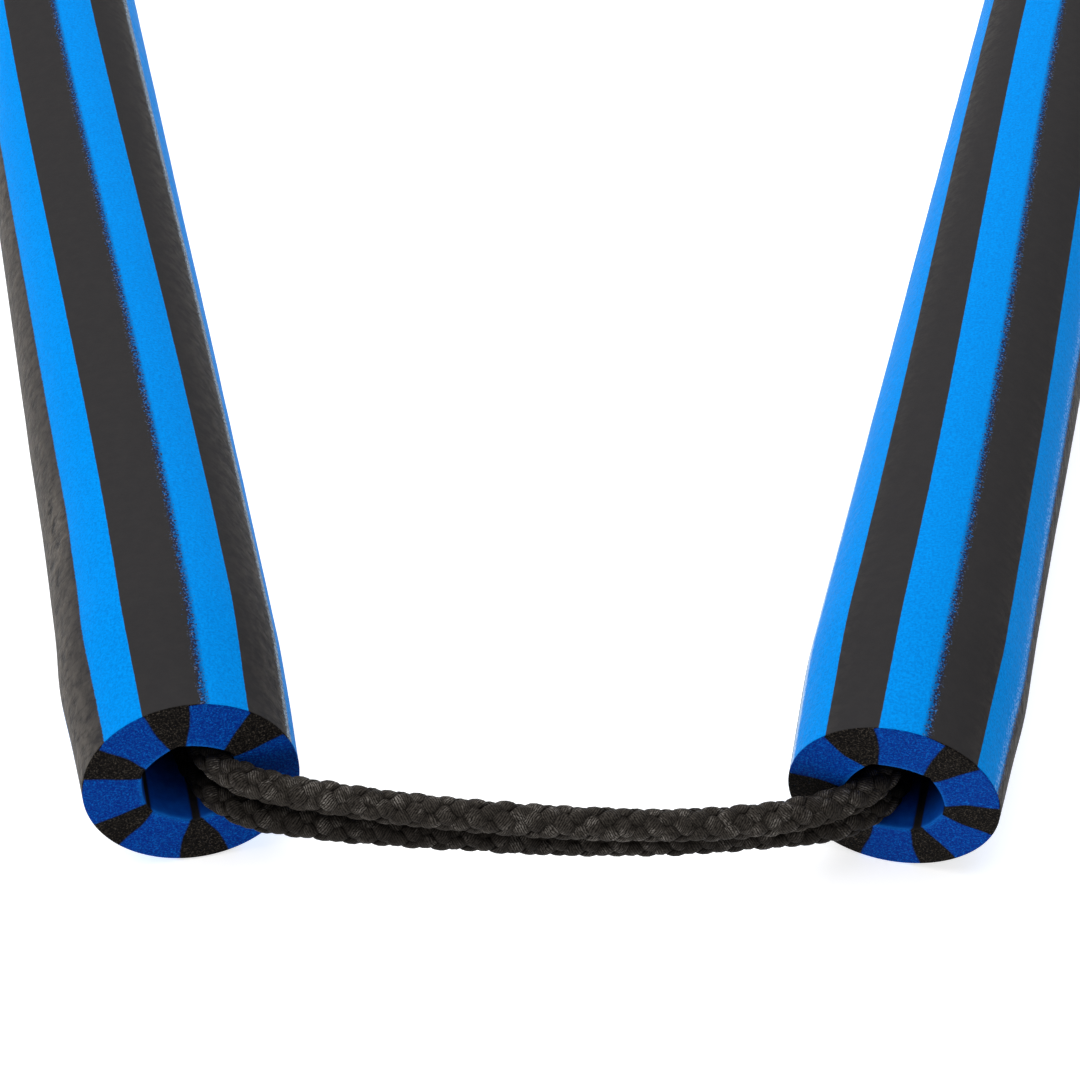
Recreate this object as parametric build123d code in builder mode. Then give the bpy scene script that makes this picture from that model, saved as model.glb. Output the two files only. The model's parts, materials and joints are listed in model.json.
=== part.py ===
"""Foam-padded practice nunchaku: two foam-sleeved handles joined by a doubled cord.

Row frame, millimetres: +Z up, +Y along the handles away from the cord, origin on the ground under the
middle of the two handles. Depths run into a handle along its axis, from its open mouth at the cord end.
"""

from build123d import *
import os
from math import cos, pi, radians, sin, tan

os.makedirs("parts", exist_ok=True)

# Layout of the two handles on the ground
SPLAY = 13.5  # degrees that each handle turns outwards from +Y
MOUTH_SPACING = 107.1  # between the centres of the two mouths, along X
STAGGER = 1.4  # how much further back the right handle lies than the left one
HANDLE_LENGTH = 300.0

# Foam sleeve: stretched over the core tube, and slimmer where it overhangs the tube's ends
GRIP_R = 17.5
MOUTH_R = 16.5
BORE_R = 7.8
OVERHANG = 25.0  # from a foam end to the core tube
LEAD_IN = 4.0  # length over which the bore widens on to the tube
SNUG = 0.05  # slack between pieces that touch

# Stripes: equal numbers of blue and black strips, the black ones narrower
STRIPES = 6
BLACK_WIDTH = 25.0  # degrees
FIRST_BLACK = {"left": -17.0, "right": -10.0}  # centre of one black strip, degrees up from the right

# Core tube and what closes it
TUBE_R = 10.0
TUBE_WALL = 1.8
FLANGE = 2.0
PLUG_LENGTH = 16.0
CORD_HOLE_R = 5.5
LIP_R = 1.2  # rounding of the cord hole's edges
PIN_R = 1.25
PIN_DEPTH = 33.0
PIN_START = CORD_HOLE_R + 0.4  # how far from the axis a pin begins
PIN_LENGTH = TUBE_R - 0.15 - PIN_START  # its flat end stays inside the round tube
WASHER_THICKNESS = 1.5
WASHER_SLACK = 0.3  # between the washer's rim and the tube
WASHER_CHAMFER = 0.2
CAP_WALL = 2.0
END_PLUG_LENGTH = 18.0

# Cord: two strands, one route each from the left knot to the right knot
CORD_R = 2.5
STRAND_SPACING = 5.3  # between the strands' centres where they lie one over the other
KNOT_DEPTH = 43.1  # the knot's flat face, in both handles
KNOT_TURN = 5.2
KNOT_WAIST_R = 5.8
KNOT_BULGES = (7.4, 7.7, 7.0)  # radius of each turn
TAIL_R = 2.3  # the strands' cut ends, drawn tight
TAIL_LENGTH = 7.0
CORD_UPPER = [
    (-63.6, -104.7, 20.1),
    (-59.8, -120.3, 20.1),
    (-55.6, -134.7, 19.9),
    (-51.4, -144.5, 19.7),
    (-45.0, -149.2, 18.5),
    (-35.0, -149.8, 17.4),
    (-17.0, -150.8, 15.4),
    (13.0, -151.7, 14.4),
    (33.0, -150.2, 15.6),
    (44.2, -148.4, 17.3),
    (51.4, -143.1, 19.3),
    (55.6, -133.3, 19.9),
    (59.8, -118.9, 20.1),
    (63.6, -103.4, 20.1),
]
CORD_LOWER = [
    (-63.6, -104.7, 14.8),
    (-59.8, -120.3, 14.8),
    (-56.1, -134.8, 14.6),
    (-52.6, -144.8, 14.2),
    (-46.0, -150.1, 13.1),
    (-35.0, -149.7, 12.0),
    (-17.0, -149.9, 10.1),
    (13.0, -149.9, 9.1),
    (33.0, -148.4, 10.4),
    (45.4, -149.0, 12.1),
    (52.4, -144.4, 14.0),
    (56.0, -133.5, 14.6),
    (59.8, -118.9, 14.8),
    (63.6, -103.4, 14.8),
]

TUBE_BORE_R = TUBE_R - TUBE_WALL
TUBE_END = HANDLE_LENGTH - OVERHANG
PLUG_END = OVERHANG + PLUG_LENGTH
BLUE_WIDTH = 360 / STRIPES - BLACK_WIDTH


def save(piece, name):
    piece.part.label = name
    export_step(piece.part, f"parts/{name}.step")


def mouth_plane(side):
    """Plane at the centre of a handle's mouth: x to the right, y up, z out towards the cord."""
    sign = -1 if side == "left" else 1
    turn = radians(sign * SPLAY)
    middle = HANDLE_LENGTH / 2 * cos(radians(SPLAY))
    centre = (sign * MOUTH_SPACING / 2, sign * STAGGER / 2 - middle, GRIP_R)
    return Plane(origin=centre, x_dir=(cos(turn), -sin(turn), 0), z_dir=(-sin(turn), -cos(turn), 0))


def radial_plane(mouth, angle=0.0):
    """Plane through the handle's axis: x is the radius at this angle, y the depth."""
    radius = mouth.x_dir * cos(radians(angle)) + mouth.y_dir * sin(radians(angle))
    return Plane(origin=mouth.origin, x_dir=radius, z_dir=radius.cross(-mouth.z_dir))


def handle_axis(mouth):
    return Axis(mouth.origin, mouth.z_dir)


def foam_strips(name, mouth, first_angle, width):
    """Six strips of the sleeve, each a slice of its wall, starting at first_angle."""
    profile = [
        (BORE_R, 0),
        (MOUTH_R, 0),
        (GRIP_R, OVERHANG),
        (GRIP_R, TUBE_END),
        (MOUTH_R, HANDLE_LENGTH),
        (BORE_R, HANDLE_LENGTH),
        (BORE_R, TUBE_END + FLANGE + LEAD_IN),
        (TUBE_R + SNUG, TUBE_END + FLANGE + SNUG),
        (TUBE_R + SNUG, OVERHANG - FLANGE - SNUG),
        (BORE_R, OVERHANG - FLANGE - LEAD_IN),
    ]
    with BuildPart() as strips:
        for strip in range(STRIPES):
            start = first_angle + strip * 360 / STRIPES
            with BuildSketch(radial_plane(mouth, start)):
                with BuildLine():
                    Polyline(*profile, close=True)
                make_face()
            revolve(axis=handle_axis(mouth), revolution_arc=width)
    save(strips, name)


def pin_planes(mouth):
    """Planes at the two pins' inner ends, facing out to the left and to the right."""
    centre = mouth.origin - mouth.z_dir * PIN_DEPTH
    outward = [mouth.x_dir * sign for sign in (-1, 1)]
    return [Plane(origin=centre + out * PIN_START, z_dir=out) for out in outward]


def core_tube(name, mouth):
    with BuildPart() as tube:
        with BuildSketch(mouth.offset(-OVERHANG)):
            Circle(TUBE_R)
            Circle(TUBE_BORE_R, mode=Mode.SUBTRACT)
        extrude(amount=-(TUBE_END - OVERHANG))
        with BuildSketch(*pin_planes(mouth)):
            Circle(PIN_R + SNUG)
        extrude(amount=PIN_LENGTH + 1, mode=Mode.SUBTRACT)
    save(tube, name)


def cord_plug(name, mouth):
    """Flanged plug with a rounded lip, so that the cord doesn't wear on its hole."""
    with BuildPart() as plug:
        with BuildSketch(radial_plane(mouth)):
            with BuildLine():
                Polyline(
                    (CORD_HOLE_R, OVERHANG - FLANGE),
                    (TUBE_R, OVERHANG - FLANGE),
                    (TUBE_R, OVERHANG),
                    (TUBE_BORE_R - SNUG, OVERHANG),
                    (TUBE_BORE_R - SNUG, PLUG_END),
                    (CORD_HOLE_R, PLUG_END),
                    close=True,
                )
            make_face()
        revolve(axis=handle_axis(mouth))
        circles = plug.edges().filter_by(GeomType.CIRCLE)
        fillet(circles.filter_by(lambda edge: edge.radius < CORD_HOLE_R + SNUG), radius=LIP_R)
        with BuildSketch(*pin_planes(mouth)):
            Circle(PIN_R + SNUG)
        extrude(amount=PIN_LENGTH + 1, mode=Mode.SUBTRACT)
    save(plug, name)


def plug_pins(name, mouth):
    with BuildPart() as pins:
        with BuildSketch(*pin_planes(mouth)):
            Circle(PIN_R)
        extrude(amount=PIN_LENGTH)
    save(pins, name)


def washer(name, mouth):
    with BuildPart() as ring:
        with BuildSketch(mouth.offset(-(PLUG_END + SNUG))):
            Circle(TUBE_BORE_R - WASHER_SLACK)
            Circle(CORD_HOLE_R, mode=Mode.SUBTRACT)
        extrude(amount=-WASHER_THICKNESS)
        chamfer(ring.edges().filter_by(GeomType.CIRCLE), length=WASHER_CHAMFER)
    save(ring, name)


def knot(name, mouth):
    """Three tight turns of cord, fatter in the middle, and the strands' two tails."""
    with BuildPart() as turns:
        with BuildSketch(radial_plane(mouth)):
            with BuildLine():
                for turn, bulge in enumerate(KNOT_BULGES):
                    start = KNOT_DEPTH + turn * KNOT_TURN
                    end = start + KNOT_TURN
                    ThreePointArc((KNOT_WAIST_R, start), (bulge, (start + end) / 2), (KNOT_WAIST_R, end))
                Polyline((KNOT_WAIST_R, KNOT_DEPTH), (0, KNOT_DEPTH), (0, end), (KNOT_WAIST_R, end))
            make_face()
        revolve(axis=handle_axis(mouth))
        with BuildSketch(mouth.offset(-end)):
            with GridLocations(0, STRAND_SPACING, 1, 2):
                Circle(TAIL_R)
        extrude(amount=-TAIL_LENGTH)
    save(turns, name)


def core_cap(name, mouth):
    """Hollow flanged cap in the tube's far end."""
    body_r = TUBE_BORE_R - SNUG
    with BuildPart() as cap:
        with BuildSketch(radial_plane(mouth)):
            with BuildLine():
                Polyline(
                    (0, TUBE_END + FLANGE),
                    (TUBE_R, TUBE_END + FLANGE),
                    (TUBE_R, TUBE_END),
                    (body_r, TUBE_END),
                    (body_r, TUBE_END - PLUG_LENGTH),
                    (body_r - CAP_WALL, TUBE_END - PLUG_LENGTH),
                    (body_r - CAP_WALL, TUBE_END),
                    (0, TUBE_END),
                    close=True,
                )
            make_face()
        revolve(axis=handle_axis(mouth))
    save(cap, name)


def end_plug(name, mouth):
    """Foam plug that closes the sleeve's far end, flush with it."""
    with BuildPart() as plug:
        with BuildSketch(mouth.offset(-HANDLE_LENGTH)):
            Circle(BORE_R - SNUG)
        extrude(amount=END_PLUG_LENGTH)
    save(plug, name)


def bend_radii(points):
    """Each corner's arc: as large as its two runs allow, 0.45 of the shorter one from the corner."""
    radii = []
    for before, corner, after in zip(points, points[1:], points[2:]):
        turn = (corner - before).get_angle(after - corner)
        shorter = min((corner - before).length, (after - corner).length)
        radii.append(0.45 * shorter / tan(radians(turn / 2)))
    return radii


def cord_strand(name, route):
    points = [Vector(*point) for point in route]
    radii = bend_radii(points)
    with BuildPart() as strand:
        with BuildLine() as path:
            FilletPolyline(*points, radius=radii)
        with BuildSketch(Plane(origin=points[0], z_dir=points[1] - points[0])):
            Circle(CORD_R)
        sweep()
    length = sum(edge.length for edge in path.edges())
    print(name, "length", round(length, 1), "radii", [round(radius, 1) for radius in radii])
    print(name, "volume", round(strand.part.volume), "section x length", round(pi * CORD_R**2 * length))
    save(strand, name)


for side in ("left", "right"):
    mouth = mouth_plane(side)
    first_black = FIRST_BLACK[side] - BLACK_WIDTH / 2
    foam_strips(f"{side}_foam_black", mouth, first_black, BLACK_WIDTH)
    foam_strips(f"{side}_foam_blue", mouth, first_black + BLACK_WIDTH, BLUE_WIDTH)
    core_tube(f"{side}_core_tube", mouth)
    cord_plug(f"{side}_cord_plug", mouth)
    plug_pins(f"{side}_plug_pins", mouth)
    washer(f"{side}_washer", mouth)
    knot(f"{side}_knot", mouth)
    core_cap(f"{side}_core_cap", mouth)
    end_plug(f"{side}_end_plug", mouth)

cord_strand("cord_upper", CORD_UPPER)
cord_strand("cord_lower", CORD_LOWER)
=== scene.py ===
"""Foam-padded practice nunchaku: two striped foam handles joined by a doubled plaited cord.

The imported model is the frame. The foam sleeves, the end plugs and the plaited strands replace
their plain CAD solids here, and the hidden hardware keeps its CAD shape with better materials.
"""

import json
import math

import bpy
import numpy as np
from mathutils import Matrix, Vector


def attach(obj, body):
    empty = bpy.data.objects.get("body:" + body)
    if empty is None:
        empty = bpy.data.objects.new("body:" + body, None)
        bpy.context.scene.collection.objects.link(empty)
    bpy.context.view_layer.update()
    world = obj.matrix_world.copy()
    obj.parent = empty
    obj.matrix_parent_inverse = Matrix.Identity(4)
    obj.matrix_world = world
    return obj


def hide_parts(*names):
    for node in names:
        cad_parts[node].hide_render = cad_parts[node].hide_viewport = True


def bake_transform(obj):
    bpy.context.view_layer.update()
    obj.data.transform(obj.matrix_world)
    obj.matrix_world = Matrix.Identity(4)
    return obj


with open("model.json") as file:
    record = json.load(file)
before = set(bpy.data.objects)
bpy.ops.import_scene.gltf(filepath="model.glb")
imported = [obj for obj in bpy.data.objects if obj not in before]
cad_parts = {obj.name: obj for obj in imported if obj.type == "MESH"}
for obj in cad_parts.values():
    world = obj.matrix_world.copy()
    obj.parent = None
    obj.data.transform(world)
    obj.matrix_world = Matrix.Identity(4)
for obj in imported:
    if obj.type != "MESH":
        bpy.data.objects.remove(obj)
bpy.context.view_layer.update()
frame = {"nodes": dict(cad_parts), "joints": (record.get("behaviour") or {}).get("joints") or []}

MM = 0.001
SIDES = ("left", "right")

# ---------------------------------------------------------------------------------------------
# Camera
# ---------------------------------------------------------------------------------------------
CAMERA_AT = (-0.001868, -0.443749, 0.3239)
CAMERA_PITCH = 49.17  # degrees up from straight down
CAMERA_ROLL = 1.415
CAMERA_YAW = -0.099
SENSOR_MM = 36.0
LENS_MM = 92.97


def make_camera():
    data = bpy.data.cameras.new("camera")
    data.sensor_width = SENSOR_MM
    data.lens = LENS_MM
    data.clip_start = 0.01
    cam = bpy.data.objects.new("camera", data)
    bpy.context.scene.collection.objects.link(cam)
    turn = (
        Matrix.Rotation(math.radians(CAMERA_YAW), 4, "Z")
        @ Matrix.Rotation(math.radians(CAMERA_PITCH), 4, "X")
        @ Matrix.Rotation(math.radians(CAMERA_ROLL), 4, "Z")
    )
    cam.matrix_world = Matrix.Translation(CAMERA_AT) @ turn
    bpy.context.scene.camera = cam


# ---------------------------------------------------------------------------------------------
# Small helpers
# ---------------------------------------------------------------------------------------------
def smooth(x, low, high):
    """0 below low, 1 above high, and a smooth step between."""
    t = np.clip((np.asarray(x, float) - low) / (high - low), 0.0, 1.0)
    return t * t * (3.0 - 2.0 * t)


def bell(x, middle, wide):
    """1 at the middle, falling away smoothly on both sides over about the width."""
    return np.exp(-(((x - middle) / wide) ** 2))


def new_piece(name, points_mm, faces, materials, face_slots=None):
    """A mesh object from points in millimetres, with its rest coordinates kept for textures."""
    mesh = bpy.data.meshes.new(name)
    points_mm = np.asarray(points_mm, float)
    mesh.from_pydata((points_mm * MM).tolist(), [], faces)
    for material in materials:
        mesh.materials.append(material)
    if face_slots is not None:
        mesh.polygons.foreach_set("material_index", np.asarray(face_slots, np.int32))
    mesh.polygons.foreach_set("use_smooth", [True] * len(mesh.polygons))
    add_vector(mesh, "rest_mm", points_mm)
    mesh.validate()
    mesh.update()
    piece = bpy.data.objects.new(name, mesh)
    bpy.context.scene.collection.objects.link(piece)
    return piece


def add_vector(mesh, name, values):
    made = mesh.attributes.new(name, "FLOAT_VECTOR", "POINT")
    made.data.foreach_set("vector", np.asarray(values, np.float32).ravel())


def add_float(mesh, name, values):
    made = mesh.attributes.new(name, "FLOAT", "POINT")
    made.data.foreach_set("value", np.asarray(values, np.float32).ravel())


def ring_faces(rows, columns, closed_rows=False):
    """Quads of a grid whose columns close on themselves, and whose rows may too."""
    row = np.arange(rows if closed_rows else rows - 1)
    col = np.arange(columns)
    a = row[:, None] * columns + col[None, :]
    b = row[:, None] * columns + (col[None, :] + 1) % columns
    up = ((row + 1) % rows)[:, None] * columns
    c = up + (col[None, :] + 1) % columns
    d = up + col[None, :]
    return np.stack([a, b, c, d], -1).reshape(-1, 4)


def waves(seed, count, low, high):
    """A few seeded sine waves over (along, around), for gentle unevenness of a surface."""
    rng = np.random.default_rng(seed)
    along = rng.uniform(low, high, count) * rng.choice([-1.0, 1.0], count)
    around = rng.integers(0, 4, count)
    phase = rng.uniform(0, 2 * np.pi, count)
    size = rng.uniform(0.5, 1.0, count) / count

    def value(s, phi):
        out = 0.0
        for k in range(count):
            out = out + size[k] * np.sin(2 * np.pi * along[k] * s + around[k] * phi + phase[k])
        return out

    return value


# ---------------------------------------------------------------------------------------------
# Node helpers
# ---------------------------------------------------------------------------------------------
class Nodes:
    """A material's node tree, with short calls for the nodes that this scene uses."""

    def __init__(self, name):
        self.material = bpy.data.materials.new(name)
        self.material.use_nodes = True
        self.tree = self.material.node_tree
        self.shader = self.tree.nodes["Principled BSDF"]

    def add(self, kind, **settings):
        node = self.tree.nodes.new(kind)
        for key, value in settings.items():
            setattr(node, key, value)
        return node

    def link(self, source, target):
        self.tree.links.new(source, target)

    def put(self, socket, value):
        """value is a constant or another node's output."""
        if isinstance(value, bpy.types.NodeSocket):
            self.link(value, socket)
        else:
            socket.default_value = value

    def attribute(self, name, output="Fac"):
        return self.add("ShaderNodeAttribute", attribute_name=name).outputs[output]

    def math(self, operation, a, b=0.0, clamp=False):
        node = self.add("ShaderNodeMath", operation=operation, use_clamp=clamp)
        self.put(node.inputs[0], a)
        self.put(node.inputs[1], b)
        return node.outputs[0]

    def scaled(self, vector, factors):
        node = self.add("ShaderNodeVectorMath", operation="MULTIPLY")
        self.put(node.inputs[0], vector)
        node.inputs[1].default_value = factors
        return node.outputs[0]

    def noise(self, vector, scale, detail=2.0, roughness=0.5):
        node = self.add("ShaderNodeTexNoise")
        self.put(node.inputs["Vector"], vector)
        node.inputs["Scale"].default_value = scale
        node.inputs["Detail"].default_value = detail
        node.inputs["Roughness"].default_value = roughness
        return node.outputs["Fac"]

    def voronoi(self, vector, scale, feature="F1"):
        node = self.add("ShaderNodeTexVoronoi", feature=feature)
        self.put(node.inputs["Vector"], vector)
        node.inputs["Scale"].default_value = scale
        return node.outputs["Distance"]

    def span(self, value, low, high, to_low=0.0, to_high=1.0):
        node = self.add("ShaderNodeMapRange", clamp=True)
        self.put(node.inputs["Value"], value)
        node.inputs["From Min"].default_value = low
        node.inputs["From Max"].default_value = high
        node.inputs["To Min"].default_value = to_low
        node.inputs["To Max"].default_value = to_high
        return node.outputs["Result"]

    def mix(self, factor, a, b):
        node = self.add("ShaderNodeMix", data_type="RGBA")
        self.put(node.inputs["Factor"], factor)
        self.put(node.inputs["A"], rgba(a))
        self.put(node.inputs["B"], rgba(b))
        return node.outputs["Result"]

    def bump(self, height, distance, strength):
        node = self.add("ShaderNodeBump")
        node.inputs["Strength"].default_value = strength
        node.inputs["Distance"].default_value = distance
        self.put(node.inputs["Height"], height)
        return node.outputs["Normal"]

    def finish(self, colour, roughness, normal=None, **fixed):
        self.put(self.shader.inputs["Base Color"], rgba(colour))
        self.put(self.shader.inputs["Roughness"], roughness)
        if normal is not None:
            self.put(self.shader.inputs["Normal"], normal)
        for name, value in fixed.items():
            self.shader.inputs[name.replace("_", " ")].default_value = value
        return self.material


def rgba(value):
    return (*value, 1.0) if isinstance(value, tuple) and len(value) == 3 else value


# ---------------------------------------------------------------------------------------------
# Materials
# ---------------------------------------------------------------------------------------------
SKIN_BLUE = (0.0, 0.280, 0.82)
SKIN_BLUE_DEEP = (0.0, 0.190, 0.62)
SKIN_BLACK = (0.0310, 0.0296, 0.0308)
SKIN_BLACK_PALE = (0.160, 0.143, 0.124)
# painted rim sheen: the whitish grains along the sleeves' sides
RIM_SHEEN_WHITE = (0.50, 0.66, 0.84)
FRINGE = (0.004, 0.012, 0.075)
FRINGE_SPECK = (0.13, 0.19, 0.34)
CUT_BLUE = (0.0, 0.028, 0.26)
CUT_BLUE_PALE = (0.002, 0.135, 0.58)
# painted highlight colour for the blue lip of the bore
LIP_HIGHLIGHT_BLUE = (0.004, 0.19, 0.70)
CUT_BLACK = (0.0035, 0.0030, 0.0030)
CUT_BLACK_PALE = (0.074, 0.062, 0.050)
CUT_OUTLINE = (0.004, 0.010, 0.035)
# painted shade: the colour that the bore's wall fades to with depth
PAINTED_SHADE_COLOUR = (0.003, 0.002, 0.006)
PLUG_PALE = (0.05, 0.046, 0.043)
YARN_DARK = (0.0018, 0.0011, 0.0008)
YARN_PALE = (0.092, 0.081, 0.070)
# painted highlight of the glinting filaments
YARN_PAINTED_GLINT = (0.30, 0.278, 0.255)
# painted shade of the cord inside the bore
YARN_BORE_SHADE = (0.0012, 0.0010, 0.0010)
# These each go from a darker to a paler shade.
BORE_BLUE = ((0.0, 0.055, 0.36), (0.002, 0.085, 0.46))
BORE_BLACK = ((0.012, 0.011, 0.011), (0.022, 0.019, 0.018))
KNOT_YARN = ((0.010, 0.009, 0.008), (0.055, 0.050, 0.045))
PVC = ((0.62, 0.62, 0.60), (0.70, 0.70, 0.67))
NYLON = ((0.02, 0.02, 0.022), (0.035, 0.035, 0.036))
STEEL = ((0.46, 0.46, 0.47), (0.62, 0.62, 0.61))

SHEEN_TINT = (0.86, 0.93, 1.0, 1.0)
# Scales of the foam's textures, in features per mm.
FINE_GRAIN = 2.6
SPECKS, SPECK_GROUPS = 2.4, 1.9
CREASES = 0.50
FOLDS = (0.27, 0.27, 0.55)  # across, across and along the sleeve
CLOUDS = 0.06
EDGE_WOBBLE = 0.9
CUT_CELLS, CUT_GRAIN = 1.9, 3.4
PLUG_CELLS, PLUG_GRAIN = 1.1, 1.6
# Widths of the edges between blue and black, in mm.
WOBBLE_MM = 0.16
SKIN_EDGE_MM, RUBBED_EDGE_MM, RAGGED_MM = 0.06, 0.14, 5.0
CUT_EDGE_MM = 0.10
BORE_EDGE_MM = 0.18


def black_depth(n, where):
    """The distance into the black foam that the mesh carries, with a slight wobble."""
    wobble = n.math("SUBTRACT", n.noise(where, EDGE_WOBBLE, 3.0), 0.5)
    return n.math("ADD", n.attribute("black_depth"), n.math("MULTIPLY", wobble, WOBBLE_MM))


def black_mask(n, where, edge_mm):
    """1 in the black foam and 0 in the blue."""
    return n.span(black_depth(n, where), -edge_mm, edge_mm)


def painted_lip_highlight(n, mask, most):
    """A painted highlight along the thin blue edge of the hole."""
    blue = n.math("SUBTRACT", 1.0, mask, True)
    return n.math("MULTIPLY", n.math("MULTIPLY", n.attribute("lip"), blue), most)


def rubbed_edges(n, where, depth):
    """The black mask, and the specks and navy fringe where blue is rubbed over a stripe's edge."""
    feather = n.attribute("feather")
    grain = n.noise(where, FINE_GRAIN, 2.0, 0.7)
    off = n.math("SUBTRACT", grain, 0.5)
    ragged = n.math("MULTIPLY", off, n.math("MULTIPLY", feather, RAGGED_MM))
    soft_edge = n.math("ADD", SKIN_EDGE_MM, n.math("MULTIPLY", feather, RUBBED_EDGE_MM))
    shifted = n.math("ADD", depth, ragged)
    mask = n.math("ADD", 0.5, n.math("DIVIDE", n.math("MULTIPLY", shifted, 0.5), soft_edge), True)
    in_band = n.math("MULTIPLY", n.span(depth, -0.6, 0.1), n.span(depth, 0.5, 1.3, 1.0, 0.0))
    specks = n.span(n.voronoi(where, SPECKS), 0.22, 0.42, 1.0, 0.0)
    chosen = n.span(n.noise(where, SPECK_GROUPS, 1.0), 0.47, 0.58)
    specks = n.math("MULTIPLY", specks, chosen)
    specks = n.math("MULTIPLY", specks, n.math("MULTIPLY", in_band, feather))
    navy = n.math("MULTIPLY", n.span(depth, -0.8, 0.0), n.span(depth, 0.1, 0.9, 1.0, 0.0))
    return mask, specks, n.math("MULTIPLY", navy, feather)


def skin_blue(n, where, fine):
    """Blue skin: fine grain and faint clouds."""
    cloudy = n.noise(where, CLOUDS, 2.0)
    blue = n.mix(n.span(fine, 0.36, 0.62), SKIN_BLUE_DEEP, SKIN_BLUE)
    return n.mix(n.math("MULTIPLY", cloudy, 0.15), blue, SKIN_BLUE_DEEP)


def skin_black(n, where):
    """Black skin and its relief: creased all over, plainest at the sides and faint on top, and
    painted paler at the sides as sheen.

    A few folds wind round the sleeve on a slant."""
    crease = n.noise(where, CREASES, 4.0, 0.6)
    winding = n.noise(n.scaled(n.attribute("slant_mm", "Vector"), FOLDS), 1.0, 2.0)
    folds = n.math("ABSOLUTE", n.math("SUBTRACT", winding, 0.5))
    wrinkled = n.attribute("wrinkled")
    streak = n.math("SUBTRACT", crease, n.span(folds, 0.0, 0.06, 0.12, 0.0))
    streak = n.math("MULTIPLY", n.math("SUBTRACT", streak, 0.42), wrinkled)
    # Painted sheen: the black is a little paler at the sides and on the left sleeve's outer side;
    # the crease streaks add paler lines of the skin's own texture.
    paling_and_sheen = n.math("ADD", n.math("MULTIPLY", wrinkled, 0.10), n.math("MULTIPLY", streak, 1.7))
    paling_and_sheen = n.math("ADD", paling_and_sheen, n.attribute("paling_and_sheen"), True)
    return n.mix(paling_and_sheen, SKIN_BLACK, SKIN_BLACK_PALE), streak


def painted_rim_sheen(n, fine, colour):
    """The colour with fine white grains of painted rim sheen along a side of the sleeve."""
    much = n.attribute("rim_sheen")
    grains = n.math("MULTIPLY", n.math("SUBTRACT", fine, 0.5), 1.6)
    grains = n.span(n.math("ADD", much, grains), 0.30, 0.95)
    return n.mix(n.math("MULTIPLY", grains, n.span(much, 0.02, 0.3)), colour, RIM_SHEEN_WHITE)


def skin_material():
    """The closed skin on the outside of the sleeve: satin, finely grained and creased."""
    n = Nodes("foam_skin")
    where = n.attribute("rest_mm", "Vector")
    fine = n.noise(where, FINE_GRAIN, 3.0, 0.65)
    mask, specks, navy = rubbed_edges(n, where, black_depth(n, where))
    black, streak = skin_black(n, where)
    colour = n.mix(mask, skin_blue(n, where, fine), black)
    colour = n.mix(n.math("MULTIPLY", navy, 0.55), colour, FRINGE)
    colour = n.mix(n.math("MULTIPLY", specks, 0.8), colour, FRINGE_SPECK)
    # painted rim sheen along the sleeves' sides
    colour = painted_rim_sheen(n, fine, colour)
    height = n.math("ADD", n.math("MULTIPLY", streak, 8.0), n.math("MULTIPLY", fine, 0.6))
    height = n.math("ADD", height, n.math("MULTIPLY", specks, 0.6))
    normal = n.bump(height, 0.10 * MM, 0.6)
    roughness = n.span(fine, 0.3, 0.7, 0.50, 0.62)
    return n.finish(
        colour, roughness, normal, Specular_IOR_Level=0.012,
        Sheen_Weight=0.08, Sheen_Roughness=0.16, Sheen_Tint=SHEEN_TINT,
    )


def cut_material():
    """The sawn end of the foam: open cells, pale where a cell wall catches the light."""
    n = Nodes("foam_cut")
    where = n.attribute("rest_mm", "Vector")
    mask = black_mask(n, where, CUT_EDGE_MM)
    cells = n.voronoi(where, CUT_CELLS, "DISTANCE_TO_EDGE")
    walls = n.span(cells, 0.03, 0.16, 1.0, 0.0)
    grain = n.noise(where, CUT_GRAIN, 2.0, 0.6)
    pale = n.math("MULTIPLY", n.span(grain, 0.44, 0.66), n.span(walls, 0.0, 1.0, 0.5, 1.0))
    blue = n.mix(pale, CUT_BLUE, CUT_BLUE_PALE)
    black = n.mix(n.math("POWER", pale, 1.6), CUT_BLACK, CUT_BLACK_PALE)
    outline = n.math("ABSOLUTE", n.attribute("black_depth"))
    colour = n.mix(mask, blue, black)
    colour = n.mix(n.span(outline, 0.0, 0.22, 0.35, 0.0), colour, CUT_OUTLINE)
    # painted highlight on the blue lip of the bore
    colour = n.mix(painted_lip_highlight(n, mask, 0.40), colour, LIP_HIGHLIGHT_BLUE)
    height = n.math("ADD", n.math("MULTIPLY", walls, 0.6), grain)
    normal = n.bump(height, 0.16 * MM, 0.9)
    return n.finish(colour, n.span(grain, 0.3, 0.7, 0.62, 0.82), normal, Specular_IOR_Level=0.03)


def bore_material():
    """The smooth wall of the hole through the foam."""
    n = Nodes("foam_bore")
    where = n.attribute("rest_mm", "Vector")
    mask = black_mask(n, where, BORE_EDGE_MM)
    soft = n.noise(where, 0.9, 3.0, 0.6)
    blue = n.mix(n.span(soft, 0.35, 0.7), *BORE_BLUE)
    black = n.mix(n.span(soft, 0.35, 0.7), *BORE_BLACK)
    normal = n.bump(soft, 0.10 * MM, 0.4)
    # painted highlight on the blue lip of the bore
    colour = n.mix(painted_lip_highlight(n, mask, 0.55), n.mix(mask, blue, black), LIP_HIGHLIGHT_BLUE)
    # painted shade: the bore darkens with depth, and the core's surface is fully dark
    colour = n.mix(n.attribute("painted_bore_shade"), colour, PAINTED_SHADE_COLOUR)
    return n.finish(
        colour, n.span(soft, 0.3, 0.7, 0.55, 0.7), normal, Specular_IOR_Level=0.1
    )


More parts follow.
